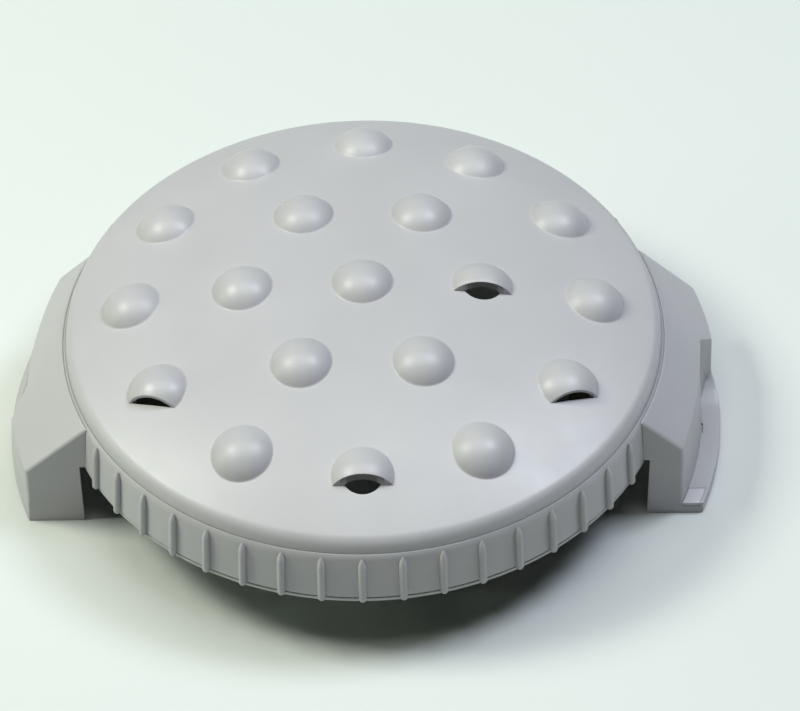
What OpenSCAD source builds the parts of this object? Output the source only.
// Compact rotary surface cleaner head: a crowned round lid with spherical studs,
// four of them opened as hooded air vents, a ribbed skirt and two side wings that
// carry the head over the floor. Under the lid a water-driven spray bar turns in
// a side-fed swivel.
// Millimetres, +Z up, origin on the floor under the axis of the lid.
// Front is -Y, the water inlet is at the rear (+Y), the right wing is at +X.

/* [Cover] */
// Height of the crown above the floor, without the studs
cover_top = 70; // [68:0.5:72]
// Radius of the sphere that the crown follows
crown_r = 300; // [290:5:320]
// Wall thickness of the cover moulding
cover_wall = 3; // [2.4:0.1:3.4]

/* [Studs and vents] */
// Radius of the ring of six inner studs
ring_inner = 41.3; // [38:0.1:43]
// Radius of the ring of twelve outer studs
ring_outer = 80.3; // [78:0.1:81]
// Radius of a stud where it meets the crown
stud_r = 10.3; // [9:0.1:11]
// Height of a stud above the crown
stud_h = 5.6; // [4.5:0.1:6.5]
// Distance of the mouth from the stud centre on the two open hoods
mouth_open = 3.4; // [3:0.1:4]
// Distance of the mouth from the stud centre on the two low hoods
mouth_low = 6.1; // [5.8:0.1:6.5]

/* [Skirt] */
// Angle between two grip ribs
rib_pitch = 7.36; // [7.2:0.02:7.4]
// Radius of the round grip ribs
rib_r = 1.6; // [1.3:0.1:1.8]
// Depth of the thin edge lip under the skirt
lip_h = 1.7; // [1.2:0.1:2.2]

/* [Wings] */
// Radius of the foot of a wing at the floor
wing_r = 126.3; // [125.8:0.1:127]
// Radius at the top edge of the wide half, right wing
wide_right = 123.7; // [123:0.1:124.5]
// Radius at the top edge of the wide half, left wing
wide_left = 125.4; // [124.8:0.1:125.5]
// Radius at the top edge of the set-back half, right wing
back_right = 117.7; // [117.2:0.1:118.4]
// Radius at the top edge of the set-back half, left wing
back_left = 116.4; // [116:0.1:117.2]
// Distance from the axis to the front end faces of the wings
front_y = 46; // [44:0.5:48]
// Distance from the axis to the rear end faces of the wings
rear_y = 38; // [37:0.5:41]
// Thickness of the foot flange on the set-back half
flange_t = 5; // [4:0.2:6]

/* [Rotor] */
// Distance from the axis to each spray nozzle
nozzle_x = 80; // [74:0.5:81]
// Tilt of the nozzles that makes the bar turn
nozzle_tilt = 15; // [10:1:18]

/* [Hidden] */
overlap = 0.01;
ledge_z = 46.5;                             // top of the skirt ring, where the cover sits
ledge_under_z = ledge_z - 3;
skirt_z = 27.5;                             // lower edge of the skirt
inlet_z = 34.5;                             // axis of the water inlet
bar_z = 13.5;                               // axis of the spray bar
crown_center_z = cover_top - crown_r;
inner_crown_r = crown_r - cover_wall;
stud_sphere_r = (stud_r*stud_r + stud_h*stud_h)/(2*stud_h);

function inner_z(r) = crown_center_z + sqrt(inner_crown_r*inner_crown_r - r*r);

shell_color = [0.80, 0.80, 0.79];
lip_color = [0.66, 0.67, 0.66];
tab_color = [0.86, 0.86, 0.85];
rubber_color = [0.12, 0.12, 0.13];
steel_color = [0.72, 0.73, 0.75];
brass_color = [0.80, 0.66, 0.36];
alu_color = [0.70, 0.71, 0.72];
dark_color = [0.22, 0.23, 0.24];
backup_color = [0.93, 0.92, 0.88];

// ---------------------------------------------------------------- shared shapes and places
pilot_r = 1.5;              // screw holes in the mouldings
swivel_top = 58;            // top of the swivel block, under the cover bosses
flange_z = 55;              // underside of the swivel flange
cover_screw_ring = 93.5;
swivel_screw_ring = 24;
wing_screw_z = 36.5;
wing_screw_r = 101.8;       // seats of the wing screw heads, from the axis
saddle_screw = [10, 62];    // x to either side, y
saddle_z = 28;
saddle_top = 41;

module at_z(z) translate([0, 0, z]) children();

// along +Y on the inlet axis
module at_inlet(y, turn = 0) translate([0, y, inlet_z]) rotate([-90, turn, 0]) children();

// along +X on the spray bar axis, or turned about Z
module at_bar(x, turn = 0) translate([x, 0, bar_z]) rotate([0, 90, turn]) children();

module at_cover_screws(z)
  for (i = [0 : 5]) rotate([0, 0, 15 + 60*i]) translate([cover_screw_ring, 0, z]) children();

module at_swivel_screws(z)
  for (i = [0 : 3]) rotate([0, 0, 45 + 90*i]) translate([swivel_screw_ring, 0, z]) children();

module at_saddle_screws(z)
  for (side = [-1, 1]) translate([side*saddle_screw[0], saddle_screw[1], z]) children();

// the three wing screws on the right, pointing outwards
module at_wing_screws(r)
  for (a = [-15, -1, 13])
    rotate([0, 0, a]) translate([r, 0, wing_screw_z]) rotate([0, 90, 0]) children();

module half_turn() rotate([0, 0, 180]) children();

module both_sides() {
  children();
  half_turn() children();
}

module tube(h, r_in, r_out, sides = 64) difference() {
  cylinder(h = h, r = r_out, $fn = sides);
  at_z(-1) cylinder(h = h + 2, r = r_in, $fn = sides);
}

module hole(h, r = pilot_r) cylinder(h = h, r = r, $fn = 32);

// ---------------------------------------------------------------- cover
cover_bore_r = 97.4;        // inside of the rim
closed_outer = [0, 1, 2, 3, 4, 5, 6, 8, 10];        // places on the outer ring, 30 degrees apart
open_hoods = [[ring_inner, 0], [ring_outer, 270]];  // ring radius, angle
low_hoods = [[210, -19], [330, 19]];                // angle on the outer ring, turn of the mouth

// half section of the moulding down to the ledge, with a rounded shoulder: r, z
cover_outline = [
  [0, ledge_z], [104, ledge_z], [103.5, 48.5], [102.95, 49.85], [101.95, 51.2],
  [100.5, 52.3], [98.6, 53.2], [98.6, 90], [0, 90]];
// region at the rim that stays solid: r, z
rim_outline = [
  [99, ledge_z - 1], [99, ledge_z + 1.5], [cover_bore_r, 80], [200, 80], [200, 0], [99, 0]];

// frame on the crown, Z along its normal
module at_stud(r, a) {
  at_z(crown_center_z) rotate([0, 0, a]) rotate([0, asin(r/crown_r), 0])
    at_z(crown_r) rotate([0, 0, -a]) children();
}

module at_closed_studs() {
  at_stud(0, 0) children();
  for (i = [1 : 5]) at_stud(ring_inner, 60*i) children();
  for (i = closed_outer) at_stud(ring_outer, 30*i) children();
}

module stud_ball(wall = 0, sides = 64)
  at_z(stud_h - stud_sphere_r) sphere(stud_sphere_r - wall, $fn = sides);

// stud cut off in front of its mouth
module hood(r, a, mouth, turn = 0) difference() {
  at_stud(r, a) stud_ball();
  at_stud(r, a) rotate([0, 0, turn]) translate([-20, -20 - mouth, 0]) cube([40, 20, 20]);
}

// hollow of a hood over a round hole through the crown
module vent_core(wall, hole_r) {
  stud_ball(wall);
  at_z(-9) cylinder(h = 10, r = hole_r, $fn = 64);
}

// slot hidden behind the mouth line
module low_vent(turn) rotate([0, 0, turn]) intersection() {
  union() vent_core(wall = 0.7, hole_r = 8.4);
  translate([-20, -mouth_low - 5, -9]) cube([40, 13, 20]);
  union() {
    translate([-20, -mouth_low, -10]) cube([40, 30, 20]);
    translate([-20, -mouth_low - 6, -0.1]) cube([40, 10, 20]);
  }
}

module crown_shell() rotate_extrude($fn = 192) intersection() {
  difference() {
    translate([0, crown_center_z]) circle(crown_r, $fn = 256);
    difference() {
      translate([0, crown_center_z]) circle(inner_crown_r, $fn = 256);
      polygon(rim_outline);
    }
  }
  polygon(cover_outline);
}

// space under the crown, above z = 20 and inside the rim
module inner_space() {
  floor_cut = 20 - crown_center_z + 100;
  difference() {
    at_z(crown_center_z) sphere(inner_crown_r, $fn = 256);
    at_z(crown_center_z - 100) cube([700, 700, 2*floor_cut], center = true);
    difference() {
      cylinder(h = 90, r = 130, $fn = 96);
      at_z(-1) cylinder(h = 92, r = cover_bore_r, $fn = 192);
    }
  }
}

// post at radius r from the axis, from height bottom up into the crown
module boss(r, bottom, boss_r)
  cylinder(h = inner_z(r) - bottom + 1.2, r = boss_r, $fn = 48);

module studded_cover() color(shell_color) difference() {
  union() {
    difference() {
      union() {
        crown_shell();
        at_closed_studs() stud_ball();
        for (place = open_hoods) hood(place[0], place[1], mouth_open);
        for (place = low_hoods) hood(ring_outer, place[0], mouth_low, place[1]);
      }
      // the inside stays free of the stud spheres, and the studs are hollow
      inner_space();
      at_closed_studs() stud_ball(wall = 2.8, sides = 48);
      for (place = open_hoods) at_stud(place[0], place[1]) vent_core(wall = 2.6, hole_r = 6.9);
      for (place = low_hoods) at_stud(ring_outer, place[0]) low_vent(place[1]);
    }
    at_cover_screws(ledge_z) boss(cover_screw_ring, ledge_z, 4.2);
    at_swivel_screws(swivel_top) boss(swivel_screw_ring, swivel_top, 4.5);
    at_saddle_screws(saddle_top) boss(norm(saddle_screw), saddle_top, 4);
  }
  at_cover_screws(ledge_z - overlap) hole(7);
  at_swivel_screws(swivel_top - overlap) hole(8);
  at_saddle_screws(saddle_top - overlap) hole(12);
}

gasket_h = 1.5;

module gasket_ring(h) at_z(ledge_z - gasket_h) tube(h, 100, 102, 128);

module cover_gasket() color(rubber_color) gasket_ring(gasket_h);

// ---------------------------------------------------------------- skirt
skirt_foot_r = 106.5;
skirt_top_r = 105;
skirt_h = ledge_z - skirt_z;
skirt_bore_r = 103.9;       // at the lower edge
ribs_per_side = 8;          // to each side of the middle rib
rib_lean = atan((skirt_foot_r - skirt_top_r)/skirt_h);
tongue_r_in = 104.8;
tongue_r_out = 105.6;
tongue_h = 1.8;
// height along the rib, radius; it runs out to a point below the ledge
rib_stations = [
  [0, rib_r], [13, rib_r], [15.2, rib_r*0.82], [16.8, rib_r*0.48], [18.1, 0.1]];

module skirt_solid()
  at_z(skirt_z) cylinder(h = skirt_h, r1 = skirt_foot_r, r2 = skirt_top_r, $fn = 192);

module rib(a)
  rotate([0, 0, a]) translate([skirt_foot_r + 0.34, 0, skirt_z + 0.2]) rotate([0, -rib_lean, 0]) {
    sphere(rib_r, $fn = 32);
    for (i = [0 : len(rib_stations) - 2]) {
      low = rib_stations[i];
      high = rib_stations[i + 1];
      at_z(low[0]) cylinder(h = high[0] - low[0], r1 = low[1], r2 = high[1], $fn = 32);
    }
  }

module inlet_window(z, h) translate([-10, 90, z]) cube([20, 30, h]);

module skirt_ring() {
  bore_z = skirt_z - 3;
  bore_h = ledge_under_z - bore_z;
  color(shell_color) difference() {
    union() {
      difference() {
        union() {
          skirt_solid();
          for (i = [-ribs_per_side : ribs_per_side]) rib(-90 + i*rib_pitch);
          // at the rear three ribs make way for the inlet
          for (i = [-ribs_per_side : ribs_per_side]) if (abs(i) > 1) rib(90 + i*rib_pitch);
        }
        at_z(ledge_z) cylinder(h = 20, r = 130, $fn = 96);
        at_z(bore_z) cylinder(h = bore_h, r1 = skirt_bore_r, r2 = 102, $fn = 192);
        at_z(40) cylinder(h = 10, r = 88, $fn = 128);
      }
      // flat seats for the heads of the wing screws
      both_sides() at_wing_screws(wing_screw_r) cylinder(h = 2.6, r = 4, $fn = 32);
    }
    // groove for the gasket
    gasket_ring(3);
    // the ribs stay clear of the edge lip
    at_z(skirt_z - 6) cylinder(h = 6, r = 106.15, $fn = 192);
    // groove for the tongue of the edge lip
    at_z(skirt_z - 1) tube(tongue_h + 1, tongue_r_in, tongue_r_out, 128);
    both_sides() at_wing_screws(95) hole(20, 1.6);
    at_cover_screws(40) hole(10, 1.8);
    inlet_window(bore_z, bore_h);
  }
}

module edge_lip() color(lip_color) difference() {
  union() {
    at_z(skirt_z - lip_h) cylinder(h = lip_h, r1 = 105.7, r2 = 106.1, $fn = 192);
    at_z(skirt_z - overlap) cylinder(h = tongue_h + overlap, r = tongue_r_out, $fn = 128);
  }
  at_z(skirt_z - lip_h - 1) cylinder(h = lip_h + 1, r = skirt_bore_r, $fn = 128);
  at_z(skirt_z - 1) cylinder(h = 5, r = tongue_r_in, $fn = 128);
  inlet_window(skirt_z - 4, 10);
}

// ---------------------------------------------------------------- wings
// The modules build a right-hand wing: the set-back half reaches to y = -back_y with
// top radius back_r, the wide half to y = wide_y with top radius wide_r. The wall
// steps out on a slant between y = step[0] and y = step[1].
right_step = [6.3, 11.5];
left_step = [11.5, 21];
wing_slope = 1.027;         // slope of the wing tops
wing_in_r = 108.3;          // inner face below the skirt
cavity_in_r = 111.3;
cavity_top = 33;
wall_t = 2.4;
end_wall_t = 3;
back_knee_z = 8;            // bend of the outer wall above the floor
wide_knee_z = 11;
back_flare = 1.6;           // spread of the set-back wall from top edge to foot
pad_h = 3;
tab_t = 1.5;
tab_r = 125.1;

function wing_z(r) = ledge_z - wing_slope*(r - skirt_top_r);
function chord_x(r, y) = sqrt(r*r - y*y);

// half section (r, z) swept about the axis
module sector(section, start = -40, sweep = 80)
  rotate([0, 0, start]) rotate_extrude(angle = sweep, $fn = 192) polygon(section);

module wing_body(top_r, foot_r, knee_z) sector([
  [wing_in_r, 0], [foot_r, 0], [top_r + 0.5, knee_z], [top_r, wing_z(top_r)],
  [skirt_top_r, ledge_z], [100, ledge_z], [100, skirt_z], [wing_in_r, skirt_z]]);

module wing_cavity(top_r, y0, y1) {
  out_r = top_r - wall_t;
  intersection() {
    sector([[cavity_in_r, -1], [out_r, -1], [out_r, min(wing_z(out_r) - 4.2, cavity_top)],
      [cavity_in_r, cavity_top]]);
    translate([90, y0, -2]) cube([60, y1 - y0, 60]);
  }
}

module wing_cavities(back_y, wide_y, back_r, wide_r, step) {
  wing_cavity(back_r, -back_y + end_wall_t, step[0] - 1);
  wing_cavity(wide_r, step[1] + 2.5, wide_y - end_wall_t);
}

module slab(z, h) translate([0, -90, z]) cube([200, 180, h]);

// channel between the two cavities
module bridge(back_r, step, z, h) intersection() {
  wing_cavity(back_r, step[0] - 1, step[1] + 2.5);
  slab(z, h);
}

module wide_half(wide_y, back_r, wide_r, step) {
  x0 = chord_x(back_r, step[0]);
  x1 = chord_x(wide_r, step[1]);
  slant = (x1 - x0)/(step[1] - step[0]);
  intersection() {
    wing_body(wide_r, wing_r, wide_knee_z);
    // plan of the wide half, with the slant drawn on 4 mm past both ends
    at_z(-1) linear_extrude(height = 80) polygon([
      [90, step[0] - 4], [x0 - 4*slant, step[0] - 4],
      [x1 + 4*slant, step[1] + 4], [x1 + 20, step[1] + 4],
      [x1 + 20, wide_y], [90, wide_y]]);
  }
}

module foot_flange(back_y, wide_r, step) {
  intersection() {
    sector([[112, 0], [wing_r, 0], [wing_r - 0.1, flange_t], [112, flange_t]], sweep = 60);
    translate([80, -back_y, -1]) cube([80, back_y + step[1], 80]);
  }
  // run-up to the step; the profile is height, distance towards the set-back half
  intersection() {
    sector([[112, 0], [wing_r - 0.3, 0], [wing_r - 0.4, 4],
      [wide_r + 0.4, wide_knee_z], [112, wide_knee_z]], start = -20, sweep = 60);
    translate([80, step[1], 0]) rotate([0, -90, 180]) linear_extrude(height = 80)
      polygon([[0, 0.5], [0, 9], [flange_t, 9], [10.9, 0.5]]);
  }
}

// thin tab let into the end of the flange; the margins widen it to its recess
module flange_tab(back_y, back_r, margin_y = 0, margin_z = 0) intersection() {
  at_z(flange_t - tab_t) tube(tab_t + margin_z, back_r + back_flare, tab_r, 192);
  translate([90, -back_y - margin_y, 0]) cube([60, 7 + margin_y, 20]);
}

module wing(back_y, wide_y, back_r, wide_r, step) difference() {
  union() {
    intersection() {
      wing_body(back_r, back_r + back_flare, back_knee_z);
      translate([80, -back_y, -1]) cube([80, back_y + step[1], 80]);
    }
    wide_half(wide_y, back_r, wide_r, step);
    foot_flange(back_y, wide_r, step);
  }
  skirt_solid();
  at_z(-5) cylinder(h = 5 + skirt_z + overlap, r = wing_in_r, $fn = 192);
  wing_cavities(back_y, wide_y, back_r, wide_r, step);
  flange_tab(back_y, back_r, margin_y = 1, margin_z = overlap);
  // drain slot at the foot of the wall
  rotate([0, 0, -4]) translate([back_r - 5, -0.7, flange_t]) cube([8, 1.4, 3]);
  at_wing_screws(100) hole(12);
  bridge(back_r, step, -2, 5);
}

module wing_pad(back_y, wide_y, back_r, wide_r, step) {
  difference() {
    wing_cavities(back_y, wide_y, back_r, wide_r, step);
    slab(pad_h, 60);
    slab(-10, 10);
  }
  bridge(back_r, step, 0, pad_h);
}

module right_wing() color(shell_color)
  wing(front_y, rear_y, back_right, wide_right, right_step);
module left_wing() color(shell_color)
  half_turn() wing(rear_y, front_y, back_left, wide_left, left_step);
module right_foot_pad() color(dark_color)
  wing_pad(front_y, rear_y, back_right, wide_right, right_step);
module left_foot_pad() color(dark_color)
  half_turn() wing_pad(rear_y, front_y, back_left, wide_left, left_step);
module right_flange_tab() color(tab_color) flange_tab(front_y, back_right);
module left_flange_tab() color(tab_color) half_turn() flange_tab(rear_y, back_left);

// ---------------------------------------------------------------- screws
// cross-slotted head below z = 0, shank up
module pan_screw(length, head_r = 2.8, head_h = 2) difference() {
  union() {
    cylinder(h = length, r = 1.45, $fn = 24);
    at_z(-head_h) cylinder(h = head_h, r = head_r, $fn = 32);
  }
  for (turn = [0, 90])
    rotate([0, 0, turn]) translate([-1.6, -0.4, -head_h - 1]) cube([3.2, 0.8, 2.1]);
}

module cover_screws() color(steel_color)
  at_cover_screws(ledge_under_z) pan_screw(8.5, head_r = 3.2, head_h = 2.2);
module wing_screws() color(steel_color) both_sides() at_wing_screws(wing_screw_r) pan_screw(9.5);
module swivel_screws() color(steel_color)
  at_swivel_screws(flange_z) pan_screw(10, head_r = 3, head_h = 2.2);
module saddle_screws() color(steel_color) at_saddle_screws(saddle_z) pan_screw(22);

// ---------------------------------------------------------------- swivel
upper_bearing_z = 49.5;     // lower faces of the bearings
lower_bearing_z = 20;
bearing_h = 6;
bearing_r = 11;
ball_ring = 8;              // radius of the circle of ball centres
ball_count = 9;
shaft_r = 5;
seal_r = 9;
upper_seal_z = 43;
upper_seal_h = 5;
backup_z = upper_seal_z + upper_seal_h;     // upper backup ring
lower_backup_z = lower_bearing_z + bearing_h;
lower_backup_h = 1;
lower_seal_h = 4;
lower_seal_z = lower_backup_z + lower_backup_h;
chamber_z = lower_seal_z + lower_seal_h;
water_r = 2.5;              // bore of the water ways
pipe_r = 5;
pipe_seat_y = 9;            // bottom of the pipe socket
clip_h = 0.8;
block_clip_z = 19.2;
block_clip_r = 11.8;

module swivel_block() color(alu_color) difference() {
  union() {
    at_z(19) cylinder(h = swivel_top - 19, r = 17, $fn = 96);
    at_z(flange_z) cylinder(h = swivel_top - flange_z, r = 30, $fn = 96);
    at_inlet(0) cylinder(h = 24, r = 8, $fn = 64);
  }
  // stepped bore, from the top down
  at_z(upper_bearing_z) cylinder(h = 12, r = bearing_r, $fn = 64);
  at_z(upper_seal_z) cylinder(h = 10, r = seal_r, $fn = 64);
  at_z(chamber_z) cylinder(h = 20, r = 7, $fn = 64);
  at_z(lower_backup_z - overlap)
    cylinder(h = chamber_z - lower_backup_z + overlap, r = seal_r, $fn = 64);
  at_z(18) cylinder(h = 8, r = bearing_r, $fn = 64);
  at_z(block_clip_z) cylinder(h = clip_h, r = block_clip_r, $fn = 64);
  at_inlet(0) cylinder(h = 12, r = water_r, $fn = 48);
  at_inlet(pipe_seat_y) cylinder(h = 20, r = pipe_r, $fn = 48);
  at_swivel_screws(50) hole(10, 1.7);
}

module block_cap() color(dark_color)
  at_z(swivel_top - 0.8) cylinder(h = 0.8, r = bearing_r, $fn = 64);

// bearing parts, standing on the lower face of the bearing
module race(r_in, r_out) difference() {
  tube(bearing_h, r_in, r_out);
  at_z(bearing_h/2) rotate_extrude($fn = 96) translate([ball_ring, 0]) circle(1.52, $fn = 48);
}
module outer_race() race(9.05, bearing_r);
module inner_race() race(shaft_r, 6.95);

module balls(r = 1.5)
  for (i = [0 : ball_count - 1])
    rotate([0, 0, i*360/ball_count]) translate([ball_ring, 0, bearing_h/2]) sphere(r, $fn = 32);

module cage() difference() {
  at_z(1.1) tube(3.8, 7.3, 8.7);
  balls(1.53);
}

module upper_bearing_outer() color(steel_color) at_z(upper_bearing_z) outer_race();
module lower_bearing_outer() color(steel_color) at_z(lower_bearing_z) outer_race();
module upper_bearing_inner() color(steel_color) at_z(upper_bearing_z) inner_race();
module lower_bearing_inner() color(steel_color) at_z(lower_bearing_z) inner_race();
module upper_bearing_cage() color(brass_color) at_z(upper_bearing_z) cage();
module lower_bearing_cage() color(brass_color) at_z(lower_bearing_z) cage();
module upper_bearing_balls() color(steel_color) at_z(upper_bearing_z) balls();
module lower_bearing_balls() color(steel_color) at_z(lower_bearing_z) balls();

module seal(h) tube(h, shaft_r + 0.03, seal_r);
module backup_ring(h) tube(h, shaft_r + 0.06, seal_r);

module upper_seal() color(rubber_color) at_z(upper_seal_z) seal(upper_seal_h);
module lower_seal() color(rubber_color) at_z(lower_seal_z) seal(lower_seal_h);
module upper_backup_ring() color(backup_color)
  at_z(backup_z) backup_ring(upper_bearing_z - backup_z);
module lower_backup_ring() color(backup_color) at_z(lower_backup_z) backup_ring(lower_backup_h);

module block_circlip() color(steel_color) difference() {
  at_z(block_clip_z) tube(clip_h, 9.6, block_clip_r);
  translate([-1.5, -13, 18]) cube([3, 6, 3]);
}

// ---------------------------------------------------------------- inlet
pipe_y0 = 10;
pipe_y1 = 94;
hex_r = 8.1;                // across the corners, gland nut and spigot
spigot_bore_r = 3;
spigot_end_y = 102;
collar_r = 6.6;
collar_t = 2.2;
nut_h = 11.44;

module inlet_pipe() color(steel_color) at_inlet(pipe_y0) tube(pipe_y1 - pipe_y0, water_r, pipe_r);
module pipe_washer() color(rubber_color)
  at_inlet(pipe_seat_y) tube(pipe_y0 - pipe_seat_y, water_r, pipe_r);

module pipe_gland_nut() color(brass_color) at_inlet(24, turn = 30) difference() {
  cylinder(h = 7, r = hex_r, $fn = 6);
  at_z(-1) cylinder(h = 9, r = pipe_r, $fn = 64);
}

module pipe_saddle() color(dark_color) difference() {
  translate([-14, saddle_screw[1] - 4, saddle_z]) cube([28, 8, saddle_top - saddle_z]);
  at_inlet(50) cylinder(h = 30, r = pipe_r, $fn = 64);
  at_saddle_screws(20) hole(30, 1.7);
}

module inlet_spigot() color(brass_color) difference() {
  union() {
    at_inlet(86, turn = 30) cylinder(h = 10.5, r = hex_r, $fn = 6);
    at_inlet(90) cylinder(h = spigot_end_y - 90, r = pipe_r, $fn = 64);
    at_inlet(spigot_end_y - collar_t) cylinder(h = collar_t, r = collar_r, $fn = 64);
  }
  at_inlet(80) cylinder(h = pipe_y1 - 80, r = pipe_r, $fn = 64);
  at_inlet(80) cylinder(h = 30, r = spigot_bore_r, $fn = 64);
}

// cup with three slots in its bottom
module inlet_strainer() color(steel_color) at_inlet(95) difference() {
  cylinder(h = 8.3, r = spigot_bore_r - 0.02, $fn = 48);
  at_z(0.5) cylinder(h = 9, r = 2.5, $fn = 48);
  for (x = [-1.2, 0, 1.2]) translate([x - 0.25, -1.5, -1]) cube([0.5, 3, 2]);
}

module nut_washer() color(rubber_color)
  at_inlet(spigot_end_y) tube(1.3, spigot_bore_r, collar_r);

module coupling_nut() color(brass_color) at_inlet(97) difference() {
  union() {
    cylinder(h = nut_h, r = 7.6, $fn = 64);
    for (i = [0 : 15])
      rotate([0, 0, 22.5*i]) translate([7.35, 0, 1]) cylinder(h = nut_h - 2, r = 0.62, $fn = 24);
  }
  at_z(-1) cylinder(h = 5, r = pipe_r + 0.06, $fn = 64);
  at_z(2.7) cylinder(h = 3.8, r = 6.95, $fn = 64);      // relief behind the thread
  at_z(6) cylinder(h = 12, r = 6.7, $fn = 64);
}

// ---------------------------------------------------------------- rotor
shaft_z = 10;               // foot of the shaft, in its socket in the hub
shaft_h = 46.9;
hub_z = 8.4;
hub_h = 10.2;
hub_top = hub_z + hub_h;
shaft_clip_z = 55.5;
shaft_clip_r = 4.5;
spray_tube_r = 4.8;
spray_tube_x = 10;          // inner end of each spray tube
tip_r = 2.2;                // nozzle body in the block
block_face = 6.5;           // lower face of the nozzle block along the nozzle axis
nozzle_seal_h = 0.7;

module rotor_shaft() color(steel_color) difference() {
  union() {
    at_z(shaft_z) cylinder(h = shaft_h, r = shaft_r, $fn = 64);
    at_z(hub_top) cylinder(h = lower_bearing_z - hub_top, r = 6.6, $fn = 64);
  }
  at_z(bar_z) cylinder(h = inlet_z - bar_z, r = water_r, $fn = 48);
  at_bar(0) cylinder(h = 20, r = water_r, center = true, $fn = 48);
  for (turn = [0, 90])
    at_z(inlet_z) rotate([0, 90, turn]) cylinder(h = 20, r = 2, center = true, $fn = 48);
  at_z(shaft_clip_z) tube(clip_h, shaft_clip_r, 8);
}

module shaft_circlip() color(steel_color) difference() {
  at_z(shaft_clip_z) tube(clip_h, shaft_clip_r, 6.6);
  translate([-1.2, -8, 55]) cube([2.4, 4, 2]);
}

module rotor_hub() color(alu_color) difference() {
  union() {
    translate([-22, -9, hub_z]) cube([44, 18, hub_h]);
    at_z(hub_z) cylinder(h = hub_h, r = 13, $fn = 64);
  }
  at_z(shaft_z) cylinder(h = 12, r = shaft_r, $fn = 64);
  at_bar(0) cylinder(h = 30, r = water_r, center = true, $fn = 48);
  for (x = [-spray_tube_x - 20, spray_tube_x])
    at_bar(x) cylinder(h = 20, r = spray_tube_r, $fn = 64);
  for (turn = [90, -90]) at_bar(0, turn) hole(20, 1.8);
}

module hub_screws() color(steel_color)
  for (turn = [90, -90]) at_bar(0, turn) at_z(shaft_r) difference() {
    cylinder(h = 7.5, r = 1.75, $fn = 32);
    at_z(5.5) cylinder(h = 3, r = 1, $fn = 6);
  }

module spray_tube(x) at_bar(x) tube(nozzle_x - 5 - spray_tube_x, 3, spray_tube_r);
module right_spray_tube() color(steel_color) spray_tube(spray_tube_x);
module left_spray_tube() color(steel_color) spray_tube(-nozzle_x + 5);

// frame on the bar axis, Z down along the tilted nozzle
module at_nozzle() translate([nozzle_x, 0, bar_z]) rotate([180 + nozzle_tilt, 0, 0]) children();

module nozzle_block() difference() {
  union() {
    translate([nozzle_x - 8, -6.3, bar_z - 5]) cube([14, 12.6, 10.6]);
    at_nozzle() cylinder(h = block_face, r = 4, $fn = 48);
  }
  at_bar(nozzle_x - 12) cylinder(h = 7, r = spray_tube_r, $fn = 64);
  at_bar(nozzle_x - 6) cylinder(h = 6, r = water_r, $fn = 48);
  at_nozzle() cylinder(h = 10, r = tip_r, $fn = 48);
}

module nozzle() at_nozzle() difference() {
  union() {
    at_z(2.5) cylinder(h = 4, r = tip_r, $fn = 48);
    at_z(block_face + nozzle_seal_h) cylinder(h = 2.2, r = 3.6, $fn = 6);
    at_z(6) cylinder(h = 1.4, r = tip_r, $fn = 48);
  }
  at_z(-2) cylinder(h = 10, r = 1.3, $fn = 32);
  cylinder(h = 14, r = 0.5, $fn = 24);
  translate([-3, -0.3, 8.8]) cube([6, 0.6, 2]);
}

module right_nozzle_block() color(brass_color) nozzle_block();
module left_nozzle_block() color(brass_color) half_turn() nozzle_block();
module right_nozzle() color(steel_color) nozzle();
module left_nozzle() color(steel_color) half_turn() nozzle();
module nozzle_seals() color(rubber_color)
  both_sides() at_nozzle() at_z(block_face) tube(nozzle_seal_h, tip_r, 3.4, 48);

// ---------------------------------------------------------------- parts
studded_cover();
cover_gasket();
skirt_ring();
edge_lip();
left_wing();
right_wing();
left_foot_pad();
right_foot_pad();
left_flange_tab();
right_flange_tab();
cover_screws();
wing_screws();
swivel_block();
swivel_screws();
block_cap();
upper_bearing_outer();
lower_bearing_outer();
upper_seal();
lower_seal();
upper_backup_ring();
lower_backup_ring();
block_circlip();
inlet_pipe();
pipe_gland_nut();
pipe_washer();
pipe_saddle();
saddle_screws();
inlet_spigot();
inlet_strainer();
coupling_nut();
nut_washer();
rotor_shaft();
shaft_circlip();
upper_bearing_inner();
lower_bearing_inner();
rotor_hub();
hub_screws();
left_spray_tube();
right_spray_tube();
left_nozzle_block();
right_nozzle_block();
left_nozzle();
right_nozzle();
nozzle_seals();
upper_bearing_cage();
upper_bearing_balls();
lower_bearing_cage();
lower_bearing_balls();
